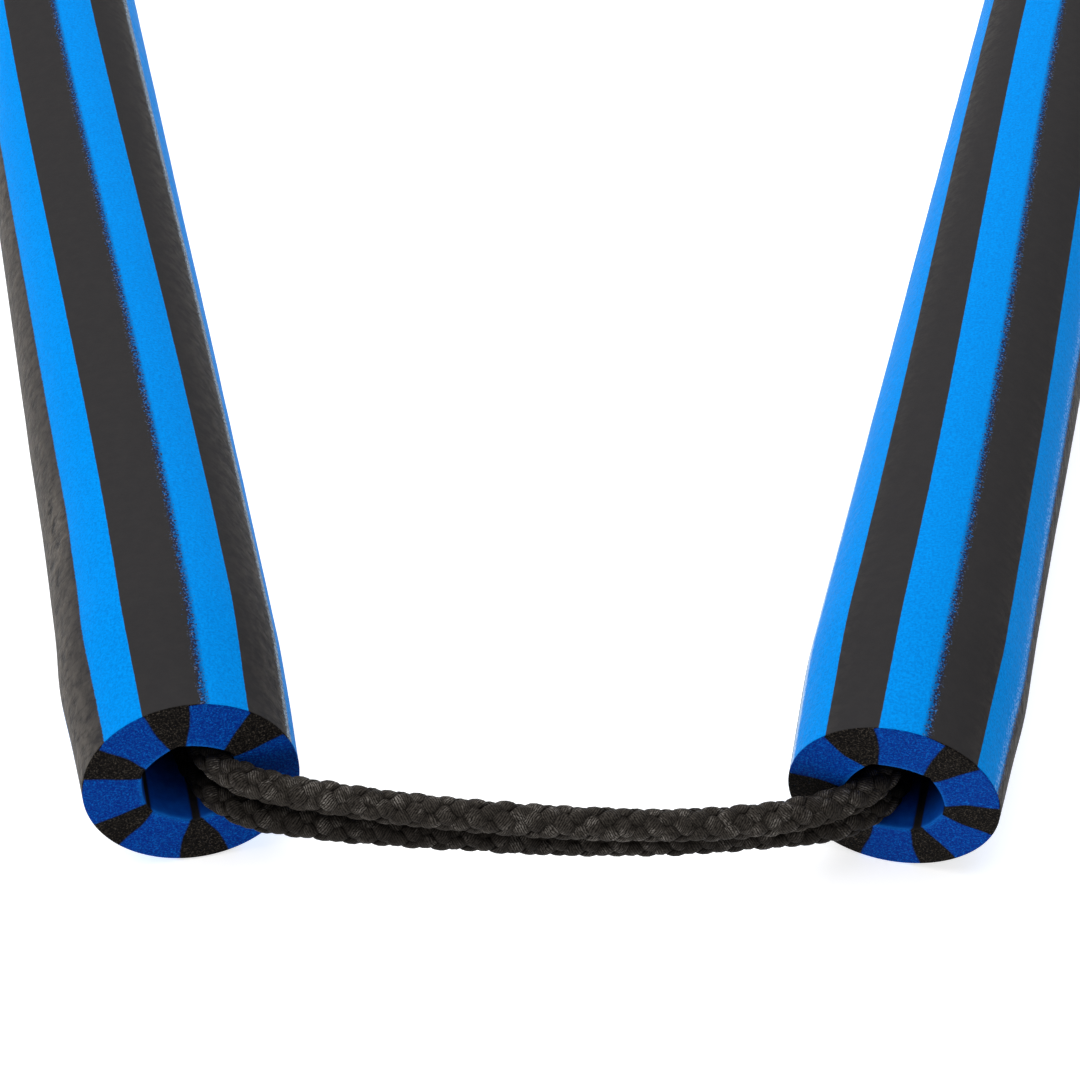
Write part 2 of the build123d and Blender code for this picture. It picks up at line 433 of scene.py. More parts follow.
def plug_foam_material():
    """The black foam plug at the far end."""
    n = Nodes("foam_plug")
    where = n.attribute("rest_mm", "Vector")
    cells = n.voronoi(where, PLUG_CELLS, "DISTANCE_TO_EDGE")
    walls = n.span(cells, 0.03, 0.20, 1.0, 0.0)
    grain = n.noise(where, PLUG_GRAIN, 3.0, 0.7)
    colour = n.mix(n.span(grain, 0.45, 0.68), CUT_BLACK, PLUG_PALE)
    height = n.math("ADD", n.math("MULTIPLY", walls, 0.8), grain)
    normal = n.bump(height, 0.2 * MM, 0.9)
    return n.finish(colour, n.span(grain, 0.3, 0.7, 0.6, 0.8), normal, Specular_IOR_Level=0.3)


def cord_material():
    """Black multifilament yarn: each plait shows leaning filaments, paler on their ridges, and some
    of them have painted glints.
    """
    n = Nodes("cord_yarn")
    yarn = n.attribute("yarn", "Vector")  # (across -1..1, along mm, yarn number)
    split = n.add("ShaderNodeSeparateXYZ")
    n.link(yarn, split.inputs[0])
    across, run, number = split.outputs
    hand = n.span(number, 3.4, 3.6, -1.0, 1.0)  # the yarns wound the other way lean the other way
    lean = math.radians(PLY_LEAN)
    drift = n.noise(n.scaled(yarn, (1.2, 0.35, 7.3)), 1.6, 2.0)
    lanes = n.math("MULTIPLY", across, YARN_HALF_WIDTH * math.cos(lean) / FILAMENT_MM)
    slant = n.math("MULTIPLY", n.math("MULTIPLY", run, hand), math.sin(lean) / FILAMENT_MM)
    lanes = n.math("ADD", n.math("ADD", lanes, slant), n.math("MULTIPLY", drift, 2.0))
    ridge = n.math("ABSOLUTE", n.math("SINE", n.math("MULTIPLY", lanes, math.pi)))
    fibres = n.noise(n.scaled(yarn, (5.0, 1.5, 3.1)), 1.6, 3.0, 0.7)
    crest = n.attribute("crest")
    relief = n.math("ADD", n.math("POWER", ridge, 0.6), n.math("MULTIPLY", fibres, 0.8))
    # painted highlight: the tone is paler on the filament ridges
    tone = n.math("ADD", n.math("MULTIPLY", ridge, 0.26), n.math("MULTIPLY", fibres, 1.0))
    # painted shade: the crest attribute darkens the yarns where they dip under others, at their
    # edges and on their undersides
    tone = n.math("MULTIPLY", n.span(tone, 0.42, 0.98), n.span(crest, 0.0, 0.85, 0.05, 1.0))
    patch = n.noise(n.scaled(yarn, (0.9, 0.28, 5.0)), 1.0, 2.0)
    tone = n.math("MULTIPLY", tone, n.span(patch, 0.35, 0.65, 0.62, 1.15))
    colour = n.mix(tone, YARN_DARK, YARN_PALE)
    # painted highlight: glints on some filament ridges
    glint = n.math("MULTIPLY", n.span(ridge, 0.45, 0.95), n.span(patch, 0.52, 0.72))
    glint = n.math("MULTIPLY", n.math("MULTIPLY", glint, n.span(fibres, 0.40, 0.62)), crest)
    colour = n.mix(glint, colour, YARN_PAINTED_GLINT)
    # painted shade: the cord goes dark inside the bore
    colour = n.mix(n.attribute("sunk"), colour, YARN_BORE_SHADE)
    normal = n.bump(relief, 0.14 * MM, 0.8)
    return n.finish(
        colour, n.span(fibres, 0.3, 0.7, 0.36, 0.55), normal, Specular_IOR_Level=0.02
    )


def rope_like_material():
    """The knot's surface on its plain solid: slanting filaments of the same black yarn."""
    n = Nodes("cord_knot")
    where = n.add("ShaderNodeTexCoord").outputs["Object"]
    lean = n.add("ShaderNodeMapping")
    n.link(where, lean.inputs["Vector"])
    lean.inputs["Rotation"].default_value = (0.5, 0.7, 0.9)
    lean.inputs["Scale"].default_value = (2200.0, 260.0, 2200.0)
    fibres = n.noise(lean.outputs["Vector"], 1.0, 3.0, 0.6)
    plaits = n.voronoi(n.scaled(where, (300.0, 300.0, 300.0)), 1.0, "DISTANCE_TO_EDGE")
    colour = n.mix(n.span(fibres, 0.35, 0.7), *KNOT_YARN)
    height = n.math("ADD", n.math("MULTIPLY", fibres, 0.5), n.span(plaits, 0.0, 0.12))
    return n.finish(colour, n.span(fibres, 0.3, 0.7, 0.4, 0.6), n.bump(height, 0.3 * MM, 0.9))


def plastic_material(name, shades, roughness, scratch):
    """A moulded or extruded plastic: faint mottling and fine draw lines."""
    n = Nodes(name)
    where = n.add("ShaderNodeTexCoord").outputs["Object"]
    mottle = n.noise(where, 90.0, 3.0)
    fine = n.noise(where, 2600.0, 2.0)
    colour = n.mix(n.span(mottle, 0.3, 0.7), *shades)
    height = n.math("ADD", fine, n.math("MULTIPLY", mottle, 2.0))
    return n.finish(
        colour, n.span(fine, 0.3, 0.7, roughness - 0.06, roughness + 0.08),
        n.bump(height, scratch * MM, 0.6),
    )


def steel_material():
    """Steel with fine lines round it."""
    n = Nodes("brushed_steel")
    where = n.add("ShaderNodeTexCoord").outputs["Object"]
    brushed = n.noise(n.scaled(where, (300.0, 300.0, 9000.0)), 1.0, 2.0)
    colour = n.mix(n.span(brushed, 0.3, 0.7), *STEEL)
    return n.finish(
        colour, n.span(brushed, 0.3, 0.7, 0.22, 0.40), n.bump(brushed, 0.02 * MM, 0.7), Metallic=1.0
    )


# ---------------------------------------------------------------------------------------------
# The plaited cord
# ---------------------------------------------------------------------------------------------
CORD_UPPER = [
    (-63.6, -104.7, 20.1), (-59.8, -120.3, 20.1), (-56.6, -132.6, 20.0), (-53.4, -139.6, 19.2),
    (-49.9, -144.4, 18.3), (-44.1, -147.6, 17.5), (-35.0, -149.0, 16.9), (-17.0, -150.8, 15.4),
    (13.0, -151.7, 14.4), (33.0, -149.9, 14.2), (43.9, -147.1, 14.8), (50.5, -143.4, 15.4),
    (54.3, -138.6, 16.4), (57.0, -131.4, 18.2), (59.8, -118.9, 20.1), (63.6, -103.4, 20.1),
]
CORD_LOWER = [
    (-63.6, -104.7, 14.8), (-59.8, -120.3, 14.8), (-57.2, -132.6, 14.0), (-53.9, -140.0, 12.9),
    (-50.4, -144.9, 12.1), (-44.4, -148.3, 11.5), (-35.0, -149.4, 11.2), (-17.0, -149.9, 10.1),
    (13.0, -149.9, 9.1), (33.0, -148.1, 9.9), (44.5, -147.4, 10.8), (51.3, -143.5, 10.9),
    (55.0, -138.5, 11.5), (57.6, -131.2, 13.1), (59.8, -118.9, 14.8), (63.6, -103.4, 14.8),
]
CARRIERS = 4  # yarns wound each way round
PLAIT_PITCH = 18.0  # mm of cord for one turn of a yarn
YARN_HALF_WIDTH = 1.72
YARN_HALF_THICKNESS = 0.46
YARN_MIDDLE_R = 1.69
YARN_SWING = 0.52  # how far a yarn rises over and dips under the others
YARN_CROWN = 0.20  # how far a yarn's edges fall below its middle
FLATNESS = 1.25  # how long a yarn stays up or down before it changes
CORD_STEP = 0.50  # mm between a yarn's sections
YARN_SECTION = 20  # points round a yarn
HEART_R = 1.25  # the straight yarns in the middle
HEART_SIDES = 10
HEART_STEP = 1.5
HEART_NUMBER = 9.0  # its yarn number, which no plaited yarn has
UNEVEN_MM = 0.05  # how far a yarn wanders in and out
STRAY = 0.10  # radians that a yarn wanders sideways
ROUTE_STEP = 0.25  # mm between the points of a strand's line
PATH_STEP = 1.0  # mm between the points of a strand's stated path
# The depths in the bore, in mm, between which the cord goes dark with painted shade.
SUNK_MM = {"left": (-2.0, 3.6), "right": (-1.0, 5.5)}
FILAMENT_MM = 0.32  # between two ridges of a yarn
PLY_LEAN = 16.0  # degrees between the filaments and their yarn


def route_line(name, points):
    """The NURBS line of a route, as a row of points in millimetres evenly spaced by length."""
    curve = bpy.data.curves.new(name, "CURVE")
    curve.dimensions = "3D"
    spline = curve.splines.new("NURBS")
    spline.points.add(len(points) - 1)
    for point, place in zip(spline.points, points):
        point.co = (*place, 1.0)
    spline.order_u = 3
    spline.use_endpoint_u = True
    spline.resolution_u = 40
    holder = bpy.data.objects.new(name, curve)
    bpy.context.scene.collection.objects.link(holder)
    mesh = bpy.data.meshes.new_from_object(holder)
    line = np.array([v.co for v in mesh.vertices], float)
    bpy.data.objects.remove(holder)
    bpy.data.curves.remove(curve)
    bpy.data.meshes.remove(mesh)
    return even_line(line, ROUTE_STEP)


def even_line(line, step):
    length = np.concatenate([[0.0], np.cumsum(np.linalg.norm(np.diff(line, axis=0), axis=1))])
    count = max(2, int(round(length[-1] / step)) + 1)
    at = np.linspace(0.0, length[-1], count)
    return np.stack([np.interp(at, length, line[:, k]) for k in range(3)], 1)


class Strand:
    """A route's line with a frame that doesn't twist about it, read at any length along it."""

    def __init__(self, line):
        self.line = line
        steps = np.linalg.norm(np.diff(line, axis=0), axis=1)
        self.at = np.concatenate([[0.0], np.cumsum(steps)])
        self.length = self.at[-1]
        tangent = np.gradient(line, self.at, axis=0)
        self.tangent = tangent / np.linalg.norm(tangent, axis=1)[:, None]
        side = np.cross(self.tangent[0], (0.0, 0.0, 1.0))
        side /= np.linalg.norm(side)
        sides = [side]
        for k in range(1, len(line)):  # carried along and made square again at each step
            side = side - np.dot(side, self.tangent[k]) * self.tangent[k]
            side = side / np.linalg.norm(side)
            sides.append(side)
        self.side = np.array(sides)
        self.other = np.cross(self.tangent, self.side)

    def read(self, table, t):
        return np.stack([np.interp(t, self.at, table[:, k]) for k in range(3)], -1)

    def point(self, t, radius, angle):
        over = np.minimum(t, 0.0) + np.maximum(t - self.length, 0.0)  # straight past the ends
        centre = self.read(self.line, t) + over[..., None] * self.read(self.tangent, t)
        out = (
            np.cos(angle)[..., None] * self.read(self.side, t)
            + np.sin(angle)[..., None] * self.read(self.other, t)
        )
        return centre + radius[..., None] * out

    def crossing(self, x):
        """The length at which the line passes x."""
        return float(np.interp(x, self.line[:, 0], self.at))


def yarn_section():
    """Points round a yarn: across and up, each from -1 to 1, on a flattened oval."""
    a = np.linspace(0.0, 2 * np.pi, YARN_SECTION, endpoint=False)
    across = np.sign(np.cos(a)) * np.abs(np.cos(a)) ** 0.85
    up = np.sign(np.sin(a)) * np.abs(np.sin(a)) ** 0.62
    return across, up


def plait(strand, start, stop, seed):
    """Points, faces and yarn coordinates of the eight yarns between two lengths of a strand."""
    across, up = yarn_section()
    count = int(math.ceil((stop - start) / CORD_STEP)) + 1
    t = np.linspace(start, stop, count)
    turn = 2 * np.pi / PLAIT_PITCH
    lean = math.atan(turn * (YARN_MIDDLE_R + YARN_SWING))
    points, faces, yarn, crest = [], [], [], []
    for hand in (1.0, -1.0):
        for k in range(CARRIERS):
            number = k + (0 if hand > 0 else CARRIERS)
            uneven = UNEVEN_MM * np.sin(2 * np.pi * t / (23.0 + 3 * number) + seed + 2.1 * number)
            ripple = np.sin(2 * np.pi * t / (7.3 + 0.9 * number) + 3 * seed + 1.3 * number)
            uneven += UNEVEN_MM * ripple
            strays = STRAY * np.sin(2 * np.pi * t / (9.1 + 1.3 * number) + seed * number)
            over = np.tanh(FLATNESS * hand * np.cos(CARRIERS * turn * t)) / math.tanh(FLATNESS)
            middle = YARN_MIDDLE_R + YARN_SWING * over + uneven
            width = YARN_HALF_WIDTH * (1.0 + 0.10 * over) * (1.0 + 0.5 * uneven)
            reach = width[:, None] * across[None, :]
            along = t[:, None] - hand * math.sin(lean) * reach
            round_mm = math.cos(lean) * reach
            angle = (
                hand * turn * t[:, None] + k * 2 * np.pi / CARRIERS + strays[:, None]
                + round_mm / (YARN_MIDDLE_R + YARN_SWING)
            )
            radius = middle[:, None] + YARN_HALF_THICKNESS * up[None, :]
            radius = radius - YARN_CROWN * across[None, :] ** 2
            base = sum(len(p) for p in points)
            points.append(strand.point(along, radius, angle).reshape(-1, 3))
            faces.append(ring_faces(count, YARN_SECTION) + base)
            coordinate = np.stack(
                [np.broadcast_to(across[None, :], reach.shape),
                 np.broadcast_to(t[:, None] / math.cos(lean), reach.shape),
                 np.full(reach.shape, float(number))], -1,
            )
            yarn.append(coordinate.reshape(-1, 3))
            # painted shade: crest is 1 on a raised yarn's top, and falls at its edges, where it
            # dips, and underneath
            shoulder = 1.0 - 0.97 * np.abs(across[None, :]) ** 4.0
            lift = smooth(over[:, None], -0.75, 0.85) * shoulder * np.where(up > -0.2, 1.0, 0.0)
            crest.append(lift.ravel())
    return points, faces, yarn, crest


def heart(strand, start, stop, base):
    """The filling in the middle of the plait, so that no gap shows through."""
    t = np.linspace(start, stop, int((stop - start) / HEART_STEP) + 2)
    angle = np.linspace(0.0, 2 * np.pi, HEART_SIDES, endpoint=False)
    grid_t, grid_a = np.meshgrid(t, angle, indexing="ij")
    points = strand.point(grid_t, np.full(grid_t.shape, HEART_R), grid_a)
    yarn = np.stack([np.cos(grid_a), grid_t, np.full(grid_t.shape, HEART_NUMBER)], -1)
    return points.reshape(-1, 3), ring_faces(len(t), HEART_SIDES) + base, yarn.reshape(-1, 3)


def strand_piece(name, strand, start, stop, material, seed, shade):
    """A closed mesh of the eight yarns and their heart between two lengths of a strand."""
    points, faces, yarn, crest = plait(strand, start, stop, seed)
    base = sum(len(p) for p in points)
    more, more_faces, more_yarn = heart(strand, start, stop, base)
    caps = []
    first = 0
    for block, size in [(p, YARN_SECTION) for p in points] + [(more, HEART_SIDES)]:
        last = first + len(block) - size
        caps.append(list(range(first, first + size)))
        caps.append(list(range(last + size - 1, last - 1, -1)))
        first += len(block)
    points.append(more)
    yarn.append(more_yarn)
    crest.append(np.zeros(len(more)))
    quads = np.concatenate([*faces, more_faces])[:, ::-1].tolist()
    piece = new_piece(name, np.concatenate(points), quads + caps, [material])
    add_vector(piece.data, "yarn", np.concatenate(yarn))
    # painted shade: the lower strand's crests are dimmed by its shade
    add_float(piece.data, "crest", np.concatenate(crest) * shade)
    # painted shade where the cord is sunk in a bore
    sunk = [sunk_in(side, np.concatenate(points)) for side in SIDES]
    add_float(piece.data, "sunk", np.max(sunk, 0))
    flat = np.ones(len(piece.data.polygons), bool)
    flat[len(quads):] = False
    piece.data.polygons.foreach_set("use_smooth", flat)
    return piece


def sunk_in(side, points):
    """How far places are sunk in a handle's bore, from 0 outside it to 1 in full painted shade."""
    handle = Handle(side)
    s = (points - handle.mouth) @ handle.along
    return smooth(s, *SUNK_MM[side])


def half_line(strand, start, stop):
    t = np.linspace(start, stop, int((stop - start) / PATH_STEP) + 1)
    return strand.read(strand.line, t) * MM


def make_cords(material):
    """Both strands, each in two halves: its node, route, seed and how bright its crests are, the
    lower strand's dimmed as painted shade.
    """
    strands = (("cord_upper", CORD_UPPER, 0.4, 1.0), ("cord_lower", CORD_LOWER, 2.3, 0.56))
    for node, route, seed, shade in strands:
        strand = Strand(route_line(node + "_route", route))
        middle = strand.crossing(0.0)
        for side in SIDES:
            start, stop = (0.0, middle) if side == "left" else (middle, strand.length)
            name = f"{side}_plait_{node[5:]}"
            piece = strand_piece(name, strand, start, stop, material, seed, shade)
            path = half_line(strand, start, stop)
            if side == "right":
                path = path[::-1]
            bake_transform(piece)
            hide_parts(node)


# ---------------------------------------------------------------------------------------------
# The foam sleeves
# ---------------------------------------------------------------------------------------------
HANDLE_LENGTH = 300.0
GRIP_R = 17.5
BORE_R = 7.8
BORE_FLARE = 0.25  # mm wider at both ends
BORE_FLATS = 0.5  # 0 for a round hole at the mouth, 1 for a hexagon
CORE_R = 10.05
OVERHANG = 25.0
AXIS_Z = 17.5
MOUTH_AHEAD = 3.5  # the swing joint is this far in front of the mouth
COLUMNS = 288

# Black sectors of the cut end, in degrees counter-clockwise seen from the front:
# from and to at the rim, then from and to at the bore.
WEDGES = {
    "left": (
        (-159.5, -138.0, -158.0, -143.0), (-100.5, -73.0, -96.0, -81.0),
        (-42.0, -14.0, -37.0, -20.0), (27.5, 53.0, 32.5, 48.5),
        (88.0, 112.5, 92.5, 111.0), (144.0, 166.0, 147.5, 162.5),
    ),
    "right": (
        (-129.0, -103.8, -125.0, -108.0), (-70.0, -48.3, -66.0, -50.0),
        (-16.3, 8.0, -13.8, 2.0), (41.5, 66.0, 44.0, 60.0),
        (105.0, 135.0, 111.0, 128.8), (175.5, 200.0, 179.0, 196.0),
    ),
}
# Black stripes on the skin near the mouth, from and to. They are wider than the sectors.
STRIPES = {
    "left": ((-161.0, -126.5), (-101.0, -66.5), (-41.0, -6.5), (19.0, 54.3), (79.0, 113.3),
             (138.6, 180.5)),
    "right": ((-137.0, -104.0), (-76.0, -42.0), (-14.5, 19.7), (44.0, 77.5), (102.4, 133.8),
              (172.0, 205.0)),
}
RUBBED_EDGE = {"left": 0, "right": 1}  # which edge of each stripe is speckled
# How much it is speckled, stripe by stripe.
RUBBED = {"left": (0.6, 0.6, 0.6, 0.3, 1.0, 0.12), "right": (0.6, 0.6, 0.8, 1.0, 0.0, 0.6)}
STRIPE_TWIST = 13.0  # degrees that the stripes wind along the handle
TWIST_MM = (25.0, 230.0)  # from where to where they wind
END_DROOP = {"left": 1.2, "right": 1.2}  # mm
FACE_LEAN = {"left": -1.5, "right": 7.4}  # degrees that the top leans out of the mouth
FACE_FORWARD = {"left": 0.0, "right": 1.0}  # mm
FACE_FADE = 22.0  # how far from the mouth its slant reaches
OUTER_SIDE = {"left": 180.0, "right": 0.0}  # where the core's end shows as a swelling
OUTER_SWELL = {"left": (0.40, 0.24), "right": (0.22, 0.12)}  # mm of swelling and hollow
# painted sheen: the black skin is painted paler on the outer side
OUTER_SHEEN = {"left": 0.26, "right": 0.0}  # how much paler the black skin is on the outer side
# Where a painted rim sheen of white grains runs along the sleeve's side: the direction, how wide in
# degrees, how much.
RIM_SHEEN_PLACES = {"left": ((21.0, 4.0, 0.55),), "right": ((169.0, 5.0, 0.9), (23.0, 5.5, 0.36))}
RUCKED = {"left": ((52.0, 150.0, 8.0),), "right": ()}  # creased patches: s, direction, size
RUCK_DENT = 0.30  # mm that a creased patch is sunk
RUCK_DENT_DEG, RUCK_CREASE_DEG = 12.0, 13.0  # how wide its dent and its creases are
WRINKLE_SLANT = 57.0  # degrees between the folds and the handle
# painted highlight: how far it reaches from the bore's lip
LIP_MM = 0.45  # how far the glow of the bore's lip reaches
# Painted shade in the bore: how dark it gets, and the depths between which it darkens.
PAINTED_SHADE_MOST = 0.985  # how dark the hole through the foam gets
PAINTED_SHADE_MM = {"left": (3.0, 16.0), "right": (1.5, 11.0)}  # the depths between which it darkens
RIM_R = {"left": 16.35, "right": 16.35}
TAPER_MM = (-9.0, 27.0)  # the distances from an end between which the sleeve widens
SWELL_AT, HOLLOW_AT = (22.0, 7.5), (58.0, 20.0)  # the middle and the width of each, in mm
FAR_SWELL, FAR_SWELL_AT = 0.12, (23.0, 7.0)  # from the far end
OVAL_FADE = 24.0  # how far from the mouth the rim's oval reaches
WAVE_SEEDS = {"left": (3, 5), "right": (8, 9)}
LOW_SIDE_DEG = (30.0, 85.0)  # how far from the top the creases grow to their full strength
EDGE_GAP = 0.16  # mm between the rim and the outermost row of the mouth's face
FAR_EDGE_GAP = 0.22
INSIDE_WEDGE_R, FAR_WEDGE_R = 8.0, 14.0  # where the sectors are read for the bore and the far end
INSIDE_NARROWER = 0.35  # mm that they are narrower at each edge in the bore
FLOOR_GAP = 0.02
PLUG_LONG, PLUG_GAP, PLUG_CROWN = 18.0, 0.05, 0.9  # mm
PLUG_COLUMNS = 64
END_SIDEWAYS = {"left": 0.0, "right": 0.30}  # mm that the end leans to the right
EDGE_CURL = 0.9  # degrees that the sectors' edges wander between the bore and the rim
RIM_OVAL = {"left": (0.28, -15.0), "right": (0.0, 0.0)}  # mm, and the direction of the long axis


def joint(name):
    return next(j for j in frame["joints"] if j["name"] == name)


class Handle:
    """A handle's own directions at rest: the mouth, along, across and up, in millimetres."""

    def __init__(self, side):
        self.along = np.array(joint(f"{side}_spin")["axis"], float)
        self.along /= np.linalg.norm(self.along)
        pivot = np.array(joint(f"{side}_swing")["pos_m"], float) / MM
        self.mouth = pivot + MOUTH_AHEAD * self.along
        self.mouth[2] = AXIS_Z
        self.up = np.array((0.0, 0.0, 1.0))
        self.across = np.cross(self.along, self.up)

    def place(self, s, rho, phi):
        s, rho, phi = np.broadcast_arrays(s, rho, phi)
        return (
            self.mouth
            + s[..., None] * self.along
            + (rho * np.cos(phi))[..., None] * self.across
            + (rho * np.sin(phi))[..., None] * self.up
        )


def turned(angle):
    """An angle in degrees brought to -180..180."""
    return (angle + 180.0) % 360.0 - 180.0


def depth_in(ranges, phi_deg, rho):
    """How deep in the nearest black range a place is, in mm of arc, its nearer edge and which."""
    best = np.full(np.broadcast(phi_deg, rho).shape, -1e3)
    edge = np.zeros(best.shape)
    which = np.zeros(best.shape, int)
    for number, (low, high) in enumerate(ranges):
        middle, half = (low + high) / 2, (high - low) / 2
        off = turned(phi_deg - middle)
        inside = np.radians(half - np.abs(off)) * rho
        nearer = inside > best
        best = np.where(nearer, inside, best)
        edge = np.where(nearer, (off > 0).astype(float), edge)
        which = np.where(nearer, number, which)
    return best, edge, which


def wedge_ranges(side, rho):
    """The black sectors at a radius: as wide as at the rim until near the bore."""
    k = np.clip((11.8 - rho) / 3.8, 0.0, 1.0) ** 1.5
    u = np.clip((rho - 8.0) / 8.2, 0.0, 1.0)
    out = []
    for number, (rim_low, rim_high, bore_low, bore_high) in enumerate(WEDGES[side]):
        low_curl, high_curl = (
            EDGE_CURL * np.sin(np.pi * u) * np.sin(np.pi * u + turn * number + start)
            for turn, start in ((1.9, 0.4), (2.7, 2.0))
        )
        low = rim_low + (bore_low - rim_low) * k + low_curl
        out.append((low, rim_high + (bore_high - rim_high) * k + high_curl))
    return out


RIM_TAPER = float(1.0 - smooth(0.0, *TAPER_MM))


def rucked(side, s, deg, wide_deg):
    """How strongly each place lies in a creased patch."""
    total = 0.0
    for at_s, at_deg, size in RUCKED[side]:
        off = turned(deg - at_deg) / wide_deg
        total = total + np.exp(-(((s - at_s) / size) ** 2) - off**2)
    return total


def skin_radius(side, s, phi):
    """The sleeve's radius: full along the grip, swelling at the core's end, less at the mouth."""
    long_seed, short_seed = WAVE_SEEDS[side]
    uneven = waves(long_seed, 7, 0.004, 0.02)
    fine = waves(short_seed, 6, 0.03, 0.08)
    radius = GRIP_R + 0.10 * uneven(s, phi) + 0.04 * fine(s, phi)
    for end in (s, HANDLE_LENGTH - s):
        taper = 1.0 - smooth(end, *TAPER_MM)
        radius = radius - (GRIP_R - RIM_R[side]) / RIM_TAPER * taper
    outer = (0.5 + 0.5 * np.cos(phi - math.radians(OUTER_SIDE[side]))) ** 2
    swell, hollow = OUTER_SWELL[side]
    radius = radius + outer * swell * bell(s, *SWELL_AT)
    radius = radius - outer * hollow * bell(s, *HOLLOW_AT)
    radius = radius + FAR_SWELL * bell(HANDLE_LENGTH - s, *FAR_SWELL_AT)
    radius = radius - RUCK_DENT * rucked(side, s, np.degrees(phi), RUCK_DENT_DEG)
    size, axis = RIM_OVAL[side]
    oval = size * np.cos(2 * (phi - math.radians(axis)))
    return radius + oval * (1.0 - smooth(s, 0.0, OVAL_FADE))


def droop(side, s):
    """How far the sleeve's end sags below its axis, past the end of the core."""
    sag = 1.0 - smooth(s, -4.0, OVERHANG + 2.0)
    return END_DROOP[side] * sag


def bore_radius(side, s, phi_deg):
    """A rounded hexagon at the mouth, whose corners are at the black sectors."""
    corners = sorted(turned((w[2] + w[3]) / 2) for w in WEDGES[side])
    corners = np.array([corners[-1] - 360.0] + corners + [corners[0] + 360.0])
    nearest = np.searchsorted(corners, turned(phi_deg))
    low, high = corners[nearest - 1], corners[np.minimum(nearest, len(corners) - 1)]
    half = np.radians(high - low) / 2
    off = np.radians(turned(phi_deg) - (low + high) / 2)
    flat = np.cos(half) / np.cos(off)  # 1 at the corners
    flat = 1.0 - (1.0 - flat) * BORE_FLATS
    return (BORE_R + BORE_FLARE) * flat


def sleeve_rows(side):
    """The rows of the sleeve's closed surface, in order: skin, far end, inside, near face.

    Each row is (region, s, rho) with s and rho for every column."""
    phi_deg = np.linspace(-180.0, 180.0, COLUMNS, endpoint=False)
    phi = np.radians(phi_deg)
    ones = np.ones(COLUMNS)
    rows = []
    skin_s = np.concatenate([
        [0.12, 0.4, 0.8, 1.4, 2.1, 3.0], np.arange(4.0, 60.0, 1.1), np.arange(60.0, 240.0, 2.0),
        np.arange(240.0, 296.0, 1.6), [297.0, 298.2, 299.2, 299.65, 299.9],
    ])
    for s in skin_s:
        rows.append(("skin", s * ones, skin_radius(side, s, phi)))
    far_rim = skin_radius(side, HANDLE_LENGTH, phi)
    bore_far = BORE_R * ones
    outer, inner = far_rim - FAR_EDGE_GAP, bore_far + BORE_FLARE
    for k in np.linspace(0.0, 1.0, 14):
        rows.append(("far", HANDLE_LENGTH * ones, outer + (inner - outer) * k))
    for s in (299.75, 298.0, 292.0, 285.0, 278.0, 275.1):
        rows.append(("bore", s * ones, bore_far))
    for s in (275.0, 200.0, 100.0, 25.0):
        rows.append(("inner", s * ones, CORE_R * ones))
    near_bore = bore_radius(side, 0.0, phi_deg)
    for s in (24.9, 20.0, 15.0, 11.0, 8.0, 6.0, 4.5, 3.2, 2.2, 1.4, 0.8, 0.4):
        blend = smooth(s, 8.0, 24.0)
        rows.append(("bore", s * ones, near_bore * (1 - blend) + BORE_R * blend))
    outer, inner = skin_radius(side, 0.0, phi) - EDGE_GAP, near_bore + 0.10
    for k in np.linspace(0.0, 1.0, 30):
        s = 0.06 if k == 0.0 else 0.0  # the lip's own row is a little further in
        rows.append(("near", s * ones, inner + (outer - inner) * k))
    return rows, phi_deg, phi


def stripe_twist(s):
    return STRIPE_TWIST * smooth(s, *TWIST_MM)


def sleeve_colours(side, region, s, rho, deg):
    """How deep in the black foam each point is, and how rubbed the nearest edge is."""
    depth, feather = np.zeros(s.shape), np.zeros(s.shape)
    skin_depth, skin_edge, stripe = depth_in(STRIPES[side], deg - stripe_twist(s), rho)
    rubbed = np.where(skin_edge == RUBBED_EDGE[side], np.array(RUBBED[side])[stripe], 0.0)
    far = [(a + STRIPE_TWIST, b + STRIPE_TWIST) for a, b in wedge_ranges(side, FAR_WEDGE_R)]
    inside = wedge_ranges(side, INSIDE_WEDGE_R)
    for k, kind in enumerate(region):
        if kind == "skin":
            depth[k], feather[k] = skin_depth[k], rubbed[k]
        elif kind == "near":
            depth[k] = depth_in(wedge_ranges(side, rho[k]), deg[k], rho[k])[0]
        elif kind == "far":
            depth[k] = depth_in(far, deg[k], rho[k])[0]
        else:
            depth[k] = depth_in(inside, deg[k], rho[k])[0] - INSIDE_NARROWER
    return depth, feather


def sleeve_points(side, region, s, rho, phi):
    """The surface in place. The near end droops, and was cut by hand and isn't quite square."""
    lean = np.tan(np.radians(FACE_LEAN[side]))
    near = 1.0 - smooth(s, 0.0, FACE_FADE)
    shift = -(lean * rho * np.sin(phi) + FACE_FORWARD[side]) * near
    points = Handle(side).place(s + shift, rho, phi)
    sag = droop(side, s) * np.where(region == "inner", 0.0, 1.0)[:, None]
    points[..., 2] -= sag
    points[..., 0] += sag / END_DROOP[side] * END_SIDEWAYS[side]
    points[..., 2] = np.maximum(points[..., 2], FLOOR_GAP)
    return points


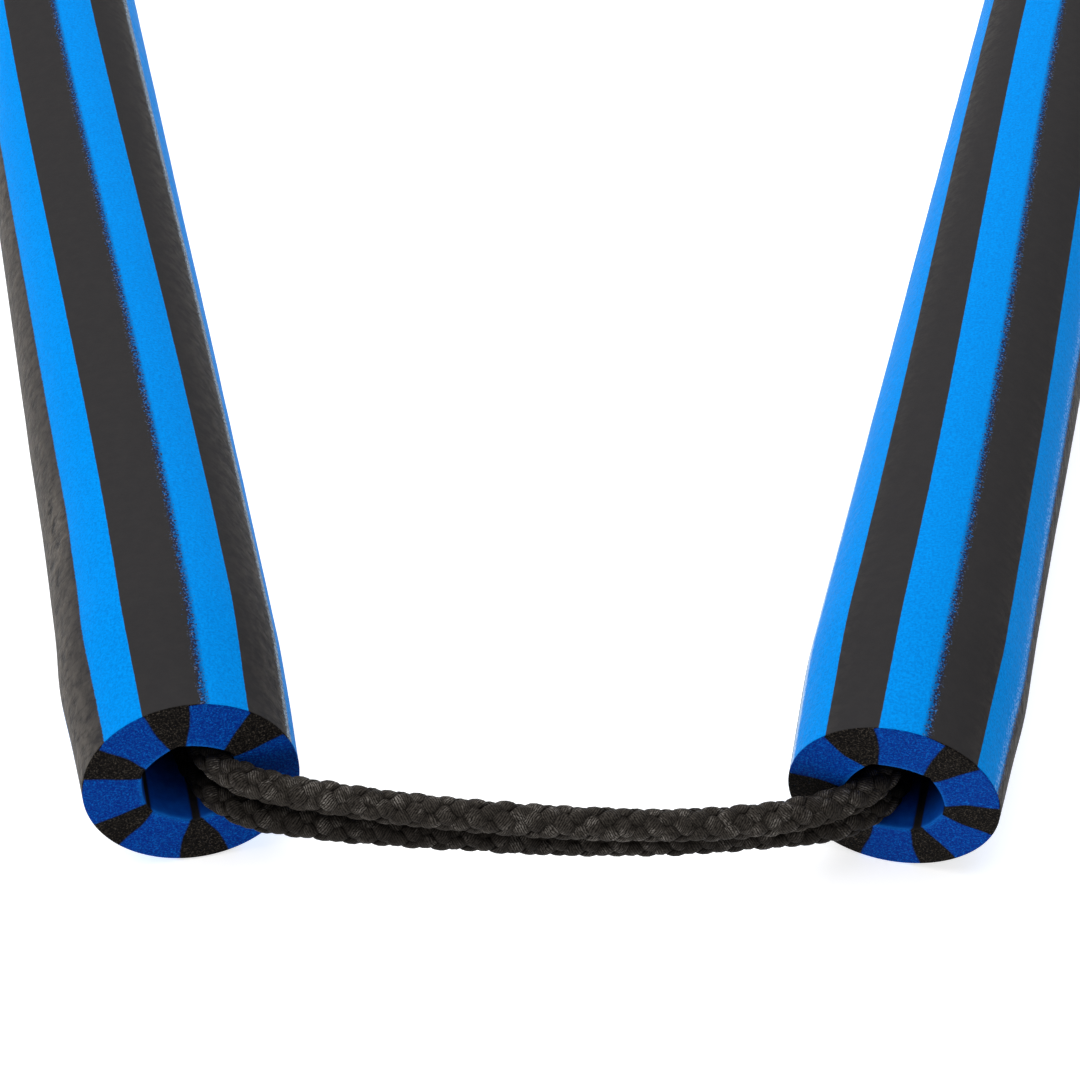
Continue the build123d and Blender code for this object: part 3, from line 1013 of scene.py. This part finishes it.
def add_bore_shade(mesh, side, region, s, rho):
    """The painted shade inside the bore and the painted highlight on its lip."""
    bore, face, inner = ((region == kind)[:, None] for kind in ("bore", "near", "inner"))
    reach = np.minimum(s, HANDLE_LENGTH - s)
    # painted shade: darker with depth in the bore, full on the core's surface
    add_float(mesh, "painted_bore_shade", PAINTED_SHADE_MOST * np.where(bore, smooth(reach, *PAINTED_SHADE_MM[side]), inner))
    from_lip = bore * s + face * (rho - rho[region == "near"].min(0))
    # painted highlight along the bore's lip, on the bore and the near face
    add_float(mesh, "lip", bell(from_lip, 0.0, LIP_MM) * (bore | face))


def add_creases_and_sheen(mesh, side, region, s, phi, deg):
    """Where the black skin is creased, where it is painted paler as sheen, and where the skin gets
    a painted rim sheen.
    """
    low = smooth(np.abs(turned(deg - 90.0)), *LOW_SIDE_DEG)
    patches = rucked(side, s, deg, RUCK_CREASE_DEG)
    add_float(mesh, "wrinkled", 0.04 + 0.96 * low + 0.9 * patches)
    # painted sheen on the outer side of the black skin
    outward = np.cos(np.radians(deg - OUTER_SIDE[side]))
    add_float(mesh, "paling_and_sheen", OUTER_SHEEN[side] * low * smooth(outward, 0.2, 0.9))
    # painted rim sheen along the sleeves' sides
    rim_sheen = np.zeros(s.shape)
    for at_deg, wide, much in RIM_SHEEN_PLACES[side]:
        rim_sheen += much * bell(turned(deg - stripe_twist(s) - at_deg), 0.0, wide)
    add_float(mesh, "rim_sheen", rim_sheen * (region == "skin")[:, None])
    wound = phi - s * math.tan(math.radians(WRINKLE_SLANT)) / GRIP_R
    wound_mm = np.stack([GRIP_R * np.cos(wound), GRIP_R * np.sin(wound), s], -1)
    add_vector(mesh, "slant_mm", wound_mm)


def foam_sleeve(side, materials):
    """A handle's foam as one closed surface, with its two colours of foam told apart by depth."""
    rows, phi_deg, phi = sleeve_rows(side)
    region = np.array([r[0] for r in rows])
    s = np.array([r[1] for r in rows])
    rho = np.array([r[2] for r in rows])
    grid_phi = np.broadcast_to(phi, s.shape)
    grid_deg = np.broadcast_to(phi_deg, s.shape)
    depth, feather = sleeve_colours(side, region, s, rho, grid_deg)
    points = sleeve_points(side, region, s, rho, grid_phi)
    faces = ring_faces(len(rows), COLUMNS, closed_rows=True)[:, ::-1]  # facing out
    kinds = {"skin": 0, "far": 1, "near": 1, "bore": 2, "inner": 2}
    slots = np.repeat([kinds[k] for k in region], COLUMNS)
    piece = new_piece(f"{side}_sleeve", points.reshape(-1, 3), faces.tolist(), materials, slots)
    add_float(piece.data, "black_depth", depth)
    add_float(piece.data, "feather", feather)
    add_bore_shade(piece.data, side, region, s, rho)
    add_creases_and_sheen(piece.data, side, region, s, grid_phi, grid_deg)
    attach(piece, f"{side}_handle")
    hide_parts(f"{side}_foam_blue", f"{side}_foam_black")


def end_plug_rows(inner, outer):
    """(s, radius) of the end plug's rows, from its inner end to its slightly crowned face."""
    plug_r = BORE_R - PLUG_GAP
    rows = [(inner, plug_r - 4.0), (inner, plug_r - 0.6), (inner + 0.6, plug_r)]
    rows += [(s, plug_r) for s in np.linspace(inner + 3.0, outer - 1.2, 8)]
    for k in np.linspace(0.0, 1.0, 9)[:-1]:
        angle = k * np.pi / 2
        s = outer - PLUG_CROWN + PLUG_CROWN * np.sin(angle) ** 0.8
        rows.append((s, plug_r * np.cos(angle) ** 0.35 * (1 - 0.2 * k)))
    return np.array(rows)


def make_end_plug(side, material):
    """The black foam plug in the far end."""
    handle = Handle(side)
    inner, outer = HANDLE_LENGTH - PLUG_LONG, HANDLE_LENGTH
    phi = np.linspace(-np.pi, np.pi, PLUG_COLUMNS, endpoint=False)
    rows = end_plug_rows(inner, outer)
    points = handle.place(rows[:, :1], rows[:, 1:], phi[None, :]).reshape(-1, 3)
    tips = [handle.place(inner, 0.0, 0.0), handle.place(outer, 0.0, 0.0)]
    count = len(points)
    faces = ring_faces(len(rows), PLUG_COLUMNS)[:, ::-1].tolist()  # facing out
    last = (len(rows) - 1) * PLUG_COLUMNS
    for k in range(PLUG_COLUMNS):
        n = (k + 1) % PLUG_COLUMNS
        faces += [[k, n, count], [last + n, last + k, count + 1]]
    points = np.concatenate([points, np.array(tips)])
    piece = new_piece(f"{side}_tail_plug", points, faces, [material])
    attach(piece, f"{side}_handle")
    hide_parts(f"{side}_end_plug")


def dress_node(name, material):
    for slot in frame["nodes"][name].material_slots:
        slot.material = material


# ---------------------------------------------------------------------------------------------
# Studio
# ---------------------------------------------------------------------------------------------
def area_light(name, at, aim, size, watts):
    data = bpy.data.lights.new(name, "AREA")
    data.shape = "RECTANGLE"
    data.size, data.size_y = size
    data.energy = watts
    lamp = bpy.data.objects.new(name, data)
    lamp.location = at
    lamp.rotation_euler = (Vector(aim) - Vector(at)).to_track_quat("-Z", "Y").to_euler()
    bpy.context.scene.collection.objects.link(lamp)


WORLD_STRENGTH = 0.27
WHITE = (1.0, 1.0, 1.0, 1.0)
FLOOR_WHITE = (0.72, 0.72, 0.72)
FLOOR_GLOW = 0.70
FLOOR_HALF = 4.0  # m
LIGHTS = (  # name, where from, aimed at, size, watts
    ("top", (-0.28, 0.15, 1.15), (0.0, -0.05, 0.0), (1.7, 1.5), 18.2),
    ("side", (-1.0, -0.25, 0.55), (-0.03, -0.08, 0.0), (0.9, 0.8), 2.45),
    ("back", (0.3, 1.2, 0.7), (0.0, -0.05, 0.0), (1.4, 0.5), 4.0),
)


def make_world():
    world = bpy.data.worlds.new("studio")
    world.use_nodes = True
    background = world.node_tree.nodes["Background"]
    background.inputs["Color"].default_value = WHITE
    background.inputs["Strength"].default_value = WORLD_STRENGTH
    bpy.context.scene.world = world


def make_floor():
    """A white floor that glows a little."""
    floor_mesh = bpy.data.meshes.new("floor")
    signs = ((-1, -1), (1, -1), (1, 1), (-1, 1))
    corners = [(FLOOR_HALF * x, FLOOR_HALF * y, 0.0) for x, y in signs]
    floor_mesh.from_pydata(corners, [], [(0, 1, 2, 3)])
    floor = bpy.data.objects.new("floor", floor_mesh)
    bpy.context.scene.collection.objects.link(floor)
    n = Nodes("floor_white")
    n.finish(
        FLOOR_WHITE, 0.9, Specular_IOR_Level=0.0,
        Emission_Color=WHITE, Emission_Strength=FLOOR_GLOW,
    )
    floor_mesh.materials.append(n.material)


# ---------------------------------------------------------------------------------------------
# Assembly
# ---------------------------------------------------------------------------------------------
make_camera()
make_cords(cord_material())
foam = [skin_material(), cut_material(), bore_material()]
plug_foam = plug_foam_material()
nylon = plastic_material("nylon", NYLON, 0.45, 0.03)
steel = steel_material()
hardware = {
    "core_tube": plastic_material("pvc_pipe", PVC, 0.42, 0.02),
    "cord_plug": nylon,
    "core_cap": nylon,
    "plug_pins": steel,
    "washer": steel,
    "knot": rope_like_material(),
}
for side_name in SIDES:
    foam_sleeve(side_name, foam)
    make_end_plug(side_name, plug_foam)
    for node_name, node_material in hardware.items():
        dress_node(f"{side_name}_{node_name}", node_material)
make_world()
for light in LIGHTS:
    area_light(*light)
make_floor()
bpy.context.scene.view_settings.view_transform = "Standard"
